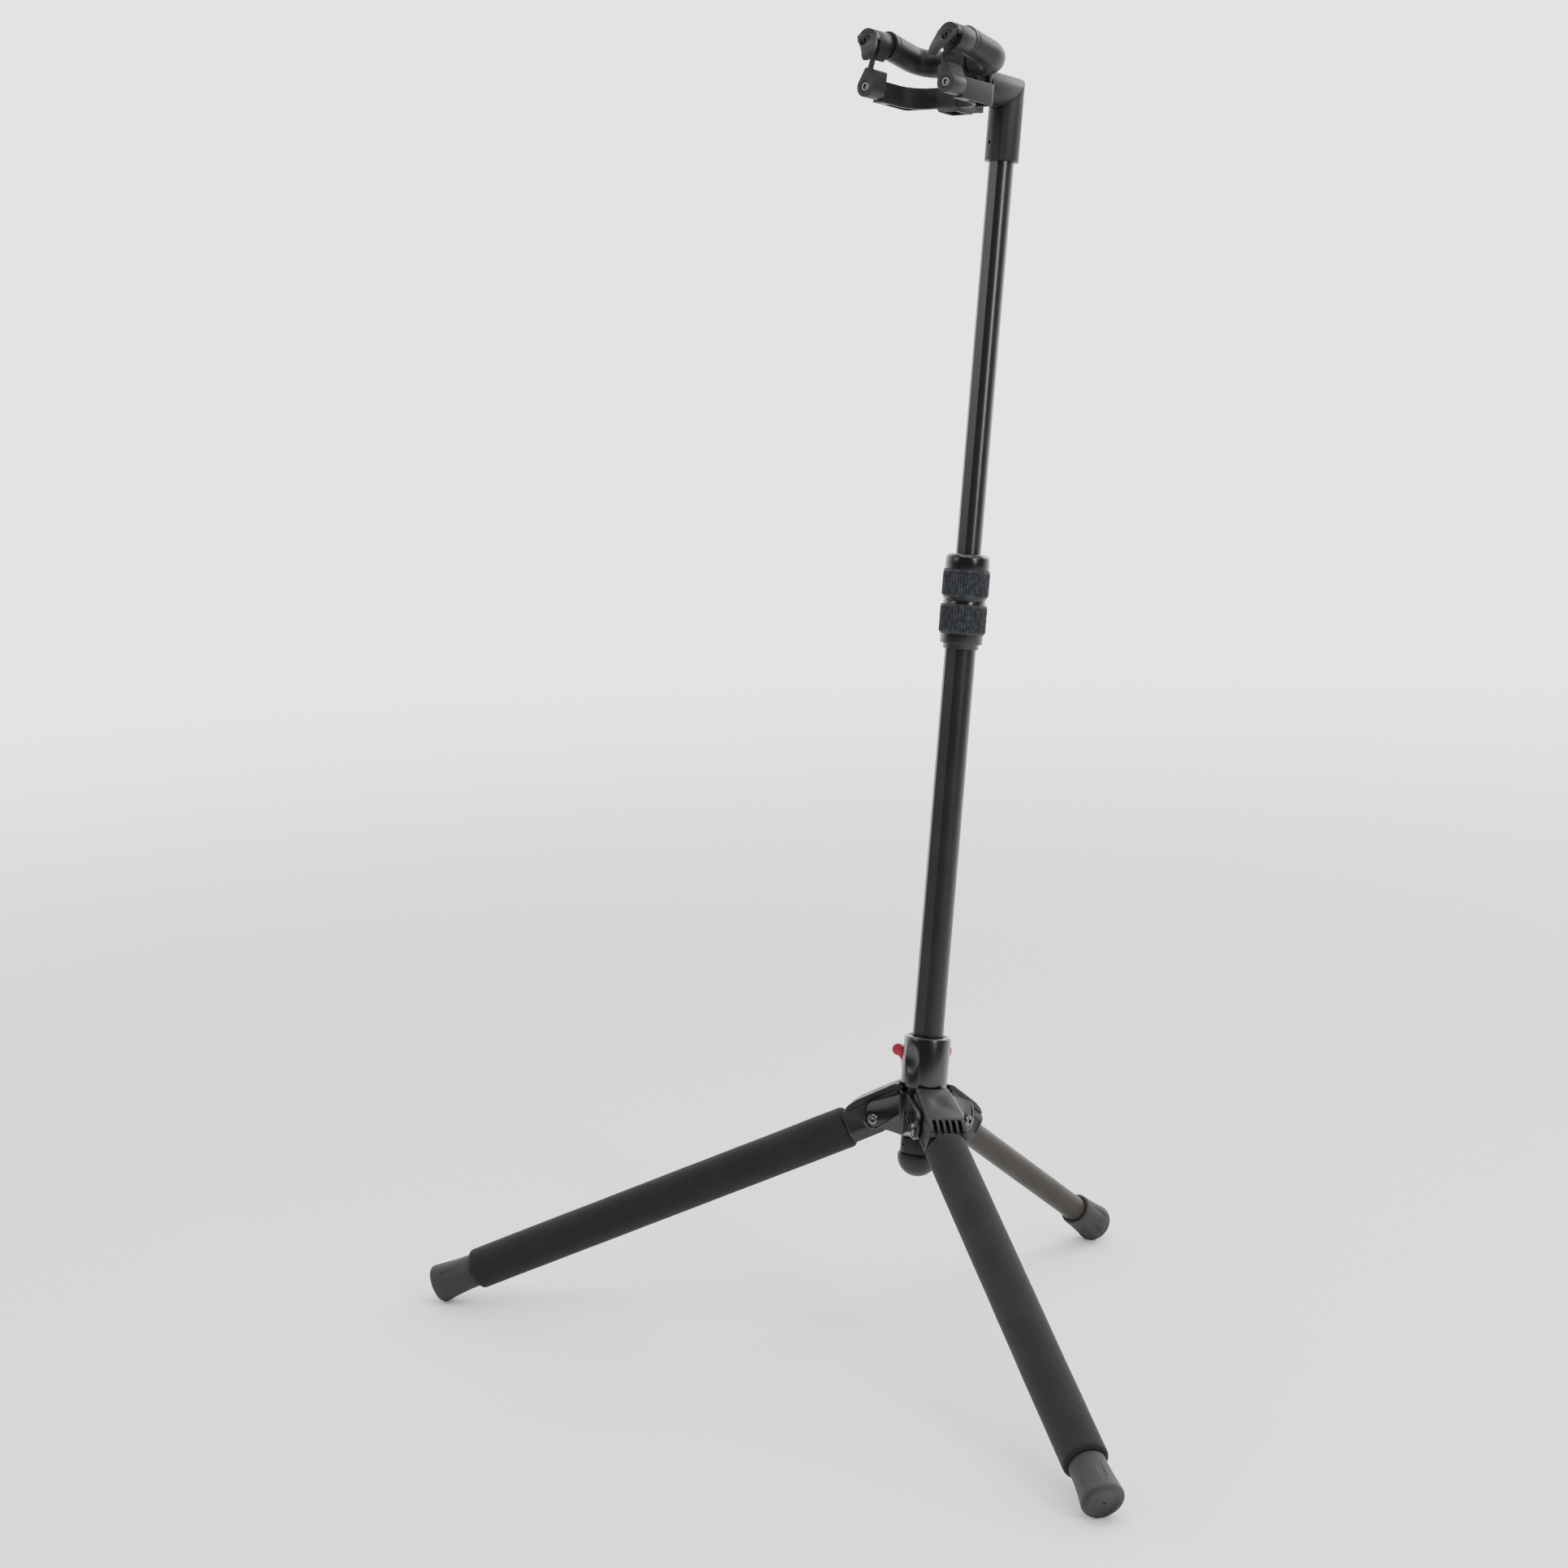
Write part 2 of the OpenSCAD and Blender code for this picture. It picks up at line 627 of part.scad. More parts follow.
module sleeve(side) {
    color("#232427") placed() intersection() {
        arm_path(sleeve_r, side, arm_x, block_w + 0.1, core_rod_r);
        translate([-big + arm_x, -big / 2, 0]) cube([big, big, big]);
    }
}

// A claw closes the front of the yoke. Drawn for the +Y arm and mirrored for the other.
// Its blade is where a side outline and a front outline meet.
module claw(side) {
    blade_side = [[slot_x1 - 3.3, claw_r - 0.9], [slot_x1 - 0.7, 8.3], [slot_x1 + 1.6, 4.4],
        [slot_x1 + 3.6, -0.6], [slot_x1 + 6.1, -5.6], [slot_x1 + 9, -10.6], [slot_x1 + 11.4, -15.4],
        [slot_x1 + 12.2, -18.2], [slot_x1 + 11.2, -20], [slot_x1 + 8.6, -19.8], [slot_x1 + 5.8, -15],
        [slot_x1 + 3.2, -10], [slot_x1 + 0.8, -5], [slot_x1 + 0.1, 1.4],
        [slot_x1 - 3.3, 1.4]];
    blade_front = concat([for (a = [20 : 20 : 160]) [(claw_r + 0.6) * cos(a), (claw_r + 0.6) * sin(a)]],
        [[-12.6, -1], [-13.6, -7], [-13.4, -13], [-12, -18], [-10, -20.4], [-7, -20.4], [-4.8, -17],
         [-1.6, -11.6], [3, -6], [8.4, -1]]);
    lobe_front = [[-11.2, 0], [-10.8, -7], [-9.2, -12.6], [-7.4, -15.8], [-5.4, -16.8], [-3, -15.6],
        [1.4, -12.8], [7, -8.8], [11.2, 0]];
    color("#34363a") placed() mirrored_y(side) translate([0, claw_y, claw_z]) difference() {
        union() {
            along_x(claw_back_x) cylinder(h = slot_x0 - claw_back_x, r = claw_r);
            intersection() {
                along_x(slot_x0 - 0.7) cylinder(h = slot_x1 - slot_x0 + 1.4, r = claw_r - 0.1);
                translate([slot_x0 - 2, -20, 1]) cube([20, 40, 20]);
            }
            along_x(slot_x0 - 1) cylinder(h = slot_x1 - slot_x0 + 2.2, r = 6);
            translate([slot_x0 - 13, 0, 0]) rotate([90, 0, 90]) linear_extrude(12.6) polygon(lobe_front);
            intersection() {
                translate([0, 20, 0]) rotate([90, 0, 0]) linear_extrude(40) polygon(blade_side);
                rotate([90, 0, 90]) linear_extrude(200) polygon(blade_front);
            }
        }
        along_x(claw_back_x - 1) cylinder(h = 50, r = pin_r + fit);
        along_x(slot_x1 + 0.4) cylinder(h = 20, r = 5);
    }
}

module claw_screws() {
    color("#2c2d30") placed() for (side = [-1, 1]) translate([0, side * claw_y, claw_z])
        along_x(slot_x1 + 0.4) difference() {
            cylinder(h = 2.6, r = 4.7);
            translate([0, 0, 1.2]) cylinder(h = 2, r = 2, $fn = 6);
        }
}

// A link on the frame arm, whose tongue stands in the slot of the claw.
module link(side) {
    tongue_tilt = 13;
    tongue_x0 = slot_x0 + 0.9;
    color("#34363a") placed() mirrored_y(side) translate([0, link_y, link_z]) difference() {
        union() {
            along_x(link_back_x) cylinder(h = link_front_x - link_back_x, r = link_r);
            rotate([tongue_tilt * 1, 0, 0]) {
                translate([link_back_x, 0, 0]) rotate([90, 0, 90]) linear_extrude(link_front_x - link_back_x)
                    polygon([[-9, 2.6], [-6.5, 15.8], [-5, 17], [4, 17], [5.5, 16], [8.9, 3]]);
                translate([tongue_x0, -2.4, 12]) cube([link_front_x - tongue_x0, 4.8, 14]);
            }
        }
        along_x(link_back_x - 1) cylinder(h = 40, r = 2.5 + fit);
        along_x(link_front_x - 3.4) cylinder(h = 10, r = 5.2);
    }
}

lower_tube();
end_cap();
end_cap_screw();
ball_bumper();
clutch_body();
lower_grip();
clutch_nut();
upper_grip();
collet();
hub_body();
collar_bush();
leg_bolts();
leg_nuts();
lever_pins();
lever_springs();
release_lever(lever_az[0]);  // release_lever_left
release_lever(lever_az[1]);  // release_lever_rear
leg_head(left_az);  // leg_head_left
leg_head(right_az);  // leg_head_right
leg_head(rear_az);  // leg_head_rear
head_cover(left_az);  // head_cover_left
head_cover(right_az);  // head_cover_right
head_cover(rear_az);  // head_cover_rear
leg_tube(left_az, front_leg_l);  // leg_tube_left
leg_tube(right_az, front_leg_l);  // leg_tube_right
leg_tube(rear_az, rear_leg_l);  // leg_tube_rear
foam_sleeve(left_az);  // foam_sleeve_left
foam_sleeve(right_az);  // foam_sleeve_right
foot(left_az, front_leg_l);  // foot_left
foot(right_az, front_leg_l);  // foot_right
foot(rear_az, rear_leg_l);  // foot_rear
upper_tube();
guide_bush();
elbow();
elbow_screw();
head_frame();
frame_screws();
link_screws();
return_spring();
yoke_core();
slide_block();
sleeve(-1);  // sleeve_left
sleeve(1);  // sleeve_right
claw(-1);  // claw_left
claw(1);  // claw_right
claw_screws();
link(-1);  // link_left
link(1);  // link_right
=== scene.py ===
import json
import math

import bmesh
import bpy
from mathutils import Matrix, Vector, noise

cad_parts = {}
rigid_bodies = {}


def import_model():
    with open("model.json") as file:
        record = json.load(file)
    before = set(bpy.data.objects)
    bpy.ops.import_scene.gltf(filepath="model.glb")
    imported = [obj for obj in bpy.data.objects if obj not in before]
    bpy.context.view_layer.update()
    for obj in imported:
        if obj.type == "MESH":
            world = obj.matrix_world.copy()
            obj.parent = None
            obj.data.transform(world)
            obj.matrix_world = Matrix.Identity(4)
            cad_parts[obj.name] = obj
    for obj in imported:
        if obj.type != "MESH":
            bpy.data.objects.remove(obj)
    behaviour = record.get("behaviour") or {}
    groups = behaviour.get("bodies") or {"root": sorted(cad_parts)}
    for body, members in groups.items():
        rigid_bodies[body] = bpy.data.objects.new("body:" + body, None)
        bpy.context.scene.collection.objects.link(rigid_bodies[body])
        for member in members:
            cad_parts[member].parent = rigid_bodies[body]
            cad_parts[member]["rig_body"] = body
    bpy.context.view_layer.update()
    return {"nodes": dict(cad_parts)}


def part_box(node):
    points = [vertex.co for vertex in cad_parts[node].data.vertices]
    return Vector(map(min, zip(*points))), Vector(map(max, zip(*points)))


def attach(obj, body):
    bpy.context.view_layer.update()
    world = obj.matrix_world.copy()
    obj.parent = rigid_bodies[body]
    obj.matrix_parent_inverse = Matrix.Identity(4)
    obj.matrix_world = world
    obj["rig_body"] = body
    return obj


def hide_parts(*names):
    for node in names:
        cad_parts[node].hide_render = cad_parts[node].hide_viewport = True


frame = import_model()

# ---------------------------------------------------------------- lower mast
# A steel tube with one flat along its front, powder coated black. The finishes
# of all pieces share two groups: a moulded grain with a sparse speckle, and a
# broad cloudy change of tone with a mask for raised edges.


def new_group(name, inputs, outputs):
    group = bpy.data.node_groups.new(name, "ShaderNodeTree")
    for label, value in inputs:
        socket = group.interface.new_socket(label, in_out="INPUT", socket_type="NodeSocketFloat")
        socket.default_value = value
    for label in outputs:
        group.interface.new_socket(label, in_out="OUTPUT", socket_type="NodeSocketFloat")
    return group, group.nodes.new("NodeGroupInput"), group.nodes.new("NodeGroupOutput")


grain, grain_in, grain_out = new_group("grain", [("Size", 900.0)], ["Height", "Speck"])
place = grain.nodes.new("ShaderNodeTexCoord")
fine = grain.nodes.new("ShaderNodeTexNoise")
fine.inputs["Detail"].default_value = 3.0
fine.inputs["Roughness"].default_value = 0.6
dots = grain.nodes.new("ShaderNodeTexVoronoi")
dots.feature = "F1"
cell = grain.nodes.new("ShaderNodeMapRange")
cell.inputs["From Min"].default_value = 0.16
cell.inputs["From Max"].default_value = 0.05
pick = grain.nodes.new("ShaderNodeSeparateColor")
some = grain.nodes.new("ShaderNodeMath")
some.operation = "GREATER_THAN"
some.inputs[1].default_value = 0.82
both = grain.nodes.new("ShaderNodeMath")
both.operation = "MULTIPLY"
link = grain.links.new
link(place.outputs["Object"], fine.inputs["Vector"])
link(place.outputs["Object"], dots.inputs["Vector"])
link(grain_in.outputs["Size"], fine.inputs["Scale"])
link(grain_in.outputs["Size"], dots.inputs["Scale"])
link(dots.outputs["Distance"], cell.inputs["Value"])
link(dots.outputs["Color"], pick.inputs["Color"])
link(pick.outputs["Red"], some.inputs[0])
link(cell.outputs["Result"], both.inputs[0])
link(some.outputs["Value"], both.inputs[1])
link(fine.outputs["Fac"], grain_out.inputs["Height"])
link(both.outputs["Value"], grain_out.inputs["Speck"])

wear, wear_in, wear_out = new_group("wear", [("Size", 30.0), ("From", 0.45), ("To", 0.7)], ["Mask", "Edge"])
wear_place = wear.nodes.new("ShaderNodeTexCoord")
cloud = wear.nodes.new("ShaderNodeTexNoise")
cloud.inputs["Detail"].default_value = 5.0
spread = wear.nodes.new("ShaderNodeMapRange")
shape = wear.nodes.new("ShaderNodeNewGeometry")
edge = wear.nodes.new("ShaderNodeMapRange")
edge.inputs["From Min"].default_value = 0.52
edge.inputs["From Max"].default_value = 0.6
link = wear.links.new
link(wear_place.outputs["Object"], cloud.inputs["Vector"])
link(wear_in.outputs["Size"], cloud.inputs["Scale"])
link(wear_in.outputs["From"], spread.inputs["From Min"])
link(wear_in.outputs["To"], spread.inputs["From Max"])
link(cloud.outputs["Fac"], spread.inputs["Value"])
link(shape.outputs["Pointiness"], edge.inputs["Value"])
link(spread.outputs["Result"], wear_out.inputs["Mask"])
link(edge.outputs["Result"], wear_out.inputs["Edge"])


def finish(name, colour, rough, grain_size=0, bump=0.0, speck=None, wear_to=None, rough_to=None,
           metal=0.0, coat=0.0, sheen=0.0, edge_to=None, wear_size=30.0, bump_depth=0.0002, gloss=0.5):
    """A Principled surface with its own colour and shine. The two groups add bump, speckle and tone."""
    mat = bpy.data.materials.new(name)
    mat.use_nodes = True
    nodes = mat.node_tree.nodes
    join = mat.node_tree.links.new
    surface = nodes["Principled BSDF"]
    surface.inputs["Base Color"].default_value = (*colour, 1)
    surface.inputs["Roughness"].default_value = rough
    surface.inputs["Metallic"].default_value = metal
    surface.inputs["Specular IOR Level"].default_value = gloss
    surface.inputs["Coat Weight"].default_value = coat
    surface.inputs["Coat Roughness"].default_value = 0.2
    surface.inputs["Sheen Weight"].default_value = sheen
    last = None
    if grain_size:
        g = nodes.new("ShaderNodeGroup")
        g.node_tree = grain
        g.inputs["Size"].default_value = grain_size
        b = nodes.new("ShaderNodeBump")
        b.inputs["Strength"].default_value = bump
        b.inputs["Distance"].default_value = bump_depth
        join(g.outputs["Height"], b.inputs["Height"])
        join(b.outputs["Normal"], surface.inputs["Normal"])
        if speck:
            m = nodes.new("ShaderNodeMix")
            m.data_type = "RGBA"
            m.inputs["A"].default_value = (*colour, 1)
            m.inputs["B"].default_value = (*speck, 1)
            join(g.outputs["Speck"], m.inputs["Factor"])
            last = m
    if wear_to or rough_to is not None or edge_to:
        w = nodes.new("ShaderNodeGroup")
        w.node_tree = wear
        w.inputs["Size"].default_value = wear_size
        w.inputs["From"].default_value = 0.42
        w.inputs["To"].default_value = 0.72
        for target, output in ((wear_to, "Mask"), (edge_to, "Edge")):
            if not target:
                continue
            m = nodes.new("ShaderNodeMix")
            m.data_type = "RGBA"
            m.inputs["A"].default_value = (*colour, 1)
            m.inputs["B"].default_value = (*target, 1)
            join(w.outputs[output], m.inputs["Factor"])
            if last:
                join(last.outputs["Result"], m.inputs["A"])
            last = m
        if rough_to is not None:
            r = nodes.new("ShaderNodeMapRange")
            r.inputs["To Min"].default_value = rough
            r.inputs["To Max"].default_value = rough_to
            join(w.outputs["Mask"], r.inputs["Value"])
            join(r.outputs["Result"], surface.inputs["Roughness"])
    if last:
        join(last.outputs["Result"], surface.inputs["Base Color"])
    return mat


def carry(node, mat):
    """A CAD node that keeps the frame's own shape takes a finish."""
    frame["nodes"][node].data.materials.clear()
    frame["nodes"][node].data.materials.append(mat)


powder_coat = finish("powder coat", (0.0085, 0.0092, 0.0102), 0.34, 1500, 0.2, rough_to=0.42, coat=0.1,
                     gloss=0.35)
carry("lower_tube", powder_coat)

# ---------------------------------------------------------------- end cap and bumper
# A moulded cap closes the tube's lower end and is held by a small screw. A
# rubber half-ball is pressed on it. A moulded or cast edge is never sharp, so a
# hard piece is a copy of the frame's own shape with its edges eased.


def eased(node, width, mat):
    """The CAD node's own shape with its edges rounded to the given width, in its place and on its body."""
    source = frame["nodes"][node]
    mesh = source.data.copy()
    mesh.name = node + " eased"
    bm = bmesh.new()
    bm.from_mesh(mesh)
    bmesh.ops.remove_doubles(bm, verts=bm.verts, dist=2e-6)
    bmesh.ops.dissolve_limit(bm, angle_limit=math.radians(0.6), verts=bm.verts, edges=bm.edges,
                             delimit={"NORMAL"})
    bm.to_mesh(mesh)
    bm.free()
    if mesh.attributes.get("custom_normal"):
        mesh.attributes.remove(mesh.attributes["custom_normal"])
    piece = bpy.data.objects.new(node + "_eased", mesh)
    bpy.context.scene.collection.objects.link(piece)
    bevel = piece.modifiers.new("edges", "BEVEL")
    bevel.width = width
    bevel.segments = 2
    bevel.limit_method = "ANGLE"
    bevel.angle_limit = math.radians(32)
    bevel.miter_outer = "MITER_ARC"
    bevel.use_clamp_overlap = True
    bpy.context.view_layer.update()
    baked = bpy.data.meshes.new_from_object(piece.evaluated_get(bpy.context.evaluated_depsgraph_get()))
    piece.modifiers.clear()
    piece.data = baked
    baked.shade_smooth()
    baked.set_sharp_from_angle(angle=math.radians(38))
    baked.materials.clear()
    baked.materials.append(mat)
    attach(piece, source["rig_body"])
    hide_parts(node)
    return piece


dark_plastic = finish("dark plastic", (0.0088, 0.0102, 0.0125), 0.5, 1500, 0.5, speck=(0.075, 0.08, 0.088),
                      edge_to=(0.02, 0.022, 0.025), wear_to=(0.0115, 0.0125, 0.0145), gloss=0.3)
dark_steel = finish("dark steel", (0.03, 0.031, 0.034), 0.35, 1500, 0.08, metal=1.0)
bumper_rubber = finish("bumper rubber", (0.009, 0.01, 0.0115), 0.5, 1300, 0.3, wear_to=(0.013, 0.0142, 0.016),
                       gloss=0.3)
eased("end_cap", 0.0006, dark_plastic)
eased("ball_bumper", 0.0005, bumper_rubber)
carry("end_cap_screw", dark_steel)

# ---------------------------------------------------------------- hub
# A glossy black casting with a collar round the mast and three pairs of ears.
# Button-head bolts in dark nickel run through the ears, with a sleeve nut each.
black_cast = finish("black cast metal", (0.0042, 0.0044, 0.0048), 0.24, 500, 0.18, speck=(0.05, 0.052, 0.055),
                    rough_to=0.32, coat=0.25, gloss=0.45)
bolt_steel = finish("dark nickel", (0.12, 0.12, 0.125), 0.28, 1500, 0.08, metal=1.0)
eased("hub_body", 0.0007, black_cast)
eased("leg_bolts", 0.0003, bolt_steel)
eased("leg_nuts", 0.0003, bolt_steel)
carry("collar_bush", dark_plastic)

# ---------------------------------------------------------------- release levers
# Two red moulded levers swing on steel pins in the collar, and a small spring
# behind each pushes it out.
red_plastic = finish("red plastic", (0.36, 0.012, 0.026), 0.36, 1500, 0.1)
bright_steel = finish("bright steel", (0.34, 0.35, 0.36), 0.26, 1500, 0.08, metal=1.0)
eased("release_lever_left", 0.0006, red_plastic)
eased("release_lever_rear", 0.0006, red_plastic)
carry("lever_pins", bright_steel)
carry("lever_springs", bright_steel)

# ---------------------------------------------------------------- leg heads and tubes
# Each leg's head is a moulded block between the ears, closed by a cover with an
# oval dimple and comb slots. The front tubes are powder coated, and the bare
# rear tube has a browner coat.
leg_metal = finish("leg tube coat", (0.03, 0.0262, 0.021), 0.48, 1500, 0.25, rough_to=0.55, gloss=0.2)
for side, tube_coat in (("left", powder_coat), ("right", powder_coat), ("rear", leg_metal)):
    eased("leg_head_" + side, 0.0012, dark_plastic)
    eased("head_cover_" + side, 0.0006, dark_plastic)
    carry("leg_tube_" + side, tube_coat)

# ---------------------------------------------------------------- foam sleeves
# Thick closed-cell foam pushed over the front legs. Its ends are rounded and
# the tube grips it, so the outside is slightly uneven along its length. The
# mast's and the legs' own axes are worked out from the lower grip, whose centre
# lies on the mast.
grip_low, grip_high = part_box("lower_grip")
lean, leg_drop, grip_middle = 9.1, 27.3, 0.46175
mast = (Matrix.Translation((grip_low + grip_high) / 2)
        @ Matrix.Rotation(math.radians(-lean), 4, "X")
        @ Matrix.Rotation(math.radians(-90), 4, "Z")
        @ Matrix.Translation((0, 0, -grip_middle)))


def leg_axes(azimuth):
    """The leg's own axes: X along the leg from the mast's axis, Y across, Z up from it."""
    turn = Matrix.Rotation(math.radians(azimuth), 4, "Z")
    return mast @ turn @ Matrix.Rotation(math.radians(leg_drop), 4, "Y")


# A closed profile of (distance along the axis, radius) is turned about the
# given axes. "swell" lets each piece vary its radius around and along itself.
def turned(name, profile, axes, along, body, mat, around=160, swell=None, sharp=38):
    bm = bmesh.new()
    rings = []
    for t, r in profile:
        if r < 1e-6:
            spot = Vector((t, 0, 0)) if along == "X" else Vector((0, 0, t))
            rings.append([bm.verts.new(axes @ spot)])
            continue
        ring = []
        for i in range(around):
            a = math.tau * i / around
            reach = r + (swell(t, a, r) if swell else 0)
            if along == "X":
                spot = Vector((t, reach * math.cos(a), reach * math.sin(a)))
            else:
                spot = Vector((reach * math.cos(a), reach * math.sin(a), t))
            ring.append(bm.verts.new(axes @ spot))
        rings.append(ring)
    closed = len(rings[0]) > 1 and len(rings[-1]) > 1
    for k in range(len(rings) - (0 if closed else 1)):
        one, two = rings[k], rings[(k + 1) % len(rings)]
        for i in range(around):
            j = (i + 1) % around
            if len(one) == 1:
                bm.faces.new((one[0], two[j], two[i]))
            elif len(two) == 1:
                bm.faces.new((one[i], one[j], two[0]))
            else:
                bm.faces.new((one[i], one[j], two[j], two[i]))
    bmesh.ops.recalc_face_normals(bm, faces=bm.faces)
    mesh = bpy.data.meshes.new(name)
    bm.to_mesh(mesh)
    bm.free()
    mesh.shade_smooth()
    mesh.set_sharp_from_angle(angle=math.radians(sharp))
    mesh.materials.append(mat)
    piece = bpy.data.objects.new(name, mesh)
    bpy.context.scene.collection.objects.link(piece)
    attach(piece, body)
    return piece


foam = finish("foam", (0.0135, 0.014, 0.0152), 0.9, 900, 0.5, speck=(0.16, 0.16, 0.165), sheen=0.05,
              wear_to=(0.017, 0.0175, 0.019), bump_depth=0.0003, gloss=0.2)
for side, azimuth, seed in (("left", -60, 3.1), ("right", 60, 9.4)):
    start, length, radius, bore, soft = 0.077, 0.410, 0.0204, 0.01252, 0.0042
    profile = [(start + 0.0006, bore), (start, bore + 0.0012)]
    for k in range(9):
        a = math.radians(-90 + 90 * k / 8)
        profile.append((start + soft + soft * math.sin(a), radius - soft + soft * math.cos(a)))
    for k in range(1, 120):
        profile.append((start + soft + (length - 2 * soft) * k / 120, radius))
    for k in range(9):
        a = math.radians(90 * k / 8)
        profile.append((start + length - soft + soft * math.sin(a), radius - soft + soft * math.cos(a)))
    profile += [(start + length, bore + 0.0012), (start + length - 0.0006, bore)]

    def uneven(t, a, r, seed=seed):
        if r < 0.016:
            return 0
        here = Vector((t * 22 + seed, math.cos(a) * 0.8, math.sin(a) * 0.8))
        pores = Vector((t * 260, math.cos(a) * 5.2, math.sin(a) * 5.2 + seed))
        return 0.00022 * noise.noise(here) + 0.00006 * noise.noise(pores) - 0.00012

    sleeve = turned("foam_sleeve_" + side + "_soft", profile, leg_axes(azimuth), "X", "leg_" + side, foam, 144,
                    uneven, 60)
    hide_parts("foam_sleeve_" + side)

# ---------------------------------------------------------------- feet
# Flared rubber feet, pushed on the tubes. Six shallow flutes deepen away from the leg and end in
# a round bottom; the sole has a ring and a small centre hole.
foot_rubber = finish("foot rubber", (0.026, 0.0272, 0.0292), 0.66, 1300, 0.4, speck=(0.09, 0.095, 0.1),
                     wear_to=(0.043, 0.045, 0.048), edge_to=(0.062, 0.065, 0.069), gloss=0.3)
for side, azimuth, sole in (("left", -60, 0.532), ("right", 60, 0.532), ("rear", 180, 0.3478)):
    axes = leg_axes(azimuth)
    front = sole - 0.045
    # The outline goes from the socket round the outside to the hole in the sole, in millimetres.
    outline = [(37.1, 0), (37.1, 12.5), (0.9, 12.52), (0.15, 13.2), (0.1, 15.2), (0.45, 15.9), (1.3, 16.35)]
    outline += [(t, 16.4 + 2.35 * ((t - 2) / 35) ** 1.6) for t in [2 + 35 * k / 60 for k in range(61)]]
    outline += [(38, 18.78), (38.8, 18.86), (39.4, 19.0), (40.2, 19.0), (41.2, 18.95), (42.3, 18.6)]
    outline += [(43.3, 17.9), (44.1, 16.9), (44.7, 15.6), (44.98, 14.2), (45, 12.0), (44.9, 11.8)]
    outline += [(44.55, 11.6), (44.5, 11.2), (44.5, 4.0), (44.5, 1.5), (44.4, 1.2), (43.4, 1.1), (43.2, 0)]

    def fluted(t, a, r, front=front):
        s = (t - front) * 1000
        if r < 0.0155 or s < 8 or s > 36.5:
            return 0
        wave = (a / (math.tau / 6)) % 1 - 0.5
        across = abs(wave) * math.tau / 6 * r * 1000
        half = 2.7
        end = 33.0
        if s > end - half:
            half = math.sqrt(max(0.0, half ** 2 - (s - end + half) ** 2))
        depth = 1.05 * min(1, max(0, (s - 8) / 20))
        if across > half + 0.7:
            return 0
        edge = 1 if across < half - 0.5 else max(0, 1 - (across - half + 0.5) / 1.2)
        return -0.001 * depth * edge * edge * (3 - 2 * edge)

    profile = [(front + t / 1000, r / 1000) for t, r in outline]
    foot = turned("foot_" + side + "_moulded", profile, axes, "X", "leg_" + side, foot_rubber, 288, fluted, 50)
    for v in foot.data.vertices:
        if v.co.z < 0:
            v.co.z = 0
    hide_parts("foot_" + side)

# ---------------------------------------------------------------- clutch
# A glossy body on the lower tube and a nut on it press a collet on the upper
# tube. Each has a rubber grip with close ribs along the mast. The ribs are one
# rounded bar set out around the ring by a node tree.
gloss_cap = finish("cap plastic", (0.0042, 0.0046, 0.0054), 0.22, 1200, 0.1, rough_to=0.3, coat=0.1,
                   gloss=0.45)
nylon = finish("nylon", (0.6, 0.58, 0.53), 0.5, 1500, 0.1)
grip_rubber = finish("grip rubber", (0.015, 0.017, 0.02), 0.62, 2200, 0.3, wear_to=(0.05, 0.055, 0.062),
                     gloss=0.3, wear_size=260.0)
eased("clutch_body", 0.0005, gloss_cap)
eased("clutch_nut", 0.0005, gloss_cap)
carry("collet", nylon)
ribs = bpy.data.node_groups.new("ribs round a ring", "GeometryNodeTree")
ribs.interface.new_socket("Geometry", in_out="INPUT", socket_type="NodeSocketGeometry")
for label, kind, value in (("Count", "NodeSocketInt", 50), ("Radius", "NodeSocketFloat", 0.022),
                           ("Bar radius", "NodeSocketFloat", 0.0009), ("Length", "NodeSocketFloat", 0.024),
                           ("Material", "NodeSocketMaterial", None)):
    socket = ribs.interface.new_socket(label, in_out="INPUT", socket_type=kind)
    if value is not None:
        socket.default_value = value
ribs.interface.new_socket("Geometry", in_out="OUTPUT", socket_type="NodeSocketGeometry")
entry, leave = ribs.nodes.new("NodeGroupInput"), ribs.nodes.new("NodeGroupOutput")
ring = ribs.nodes.new("GeometryNodeMeshCircle")
bar = ribs.nodes.new("GeometryNodeMeshCylinder")
bar.inputs["Vertices"].default_value = 12
lay = ribs.nodes.new("GeometryNodeInstanceOnPoints")
real = ribs.nodes.new("GeometryNodeRealizeInstances")
paint = ribs.nodes.new("GeometryNodeSetMaterial")
link = ribs.links.new
link(entry.outputs["Count"], ring.inputs["Vertices"])
link(entry.outputs["Radius"], ring.inputs["Radius"])
link(entry.outputs["Bar radius"], bar.inputs["Radius"])
link(entry.outputs["Length"], bar.inputs["Depth"])
link(ring.outputs["Mesh"], lay.inputs["Points"])
link(bar.outputs["Mesh"], lay.inputs["Instance"])
link(lay.outputs["Instances"], real.inputs["Geometry"])
link(real.outputs["Geometry"], paint.inputs["Geometry"])
link(entry.outputs["Material"], paint.inputs["Material"])
link(paint.outputs["Geometry"], leave.inputs["Geometry"])
numbers = {item.name: item.identifier for item in ribs.interface.items_tree if item.in_out == "INPUT"}
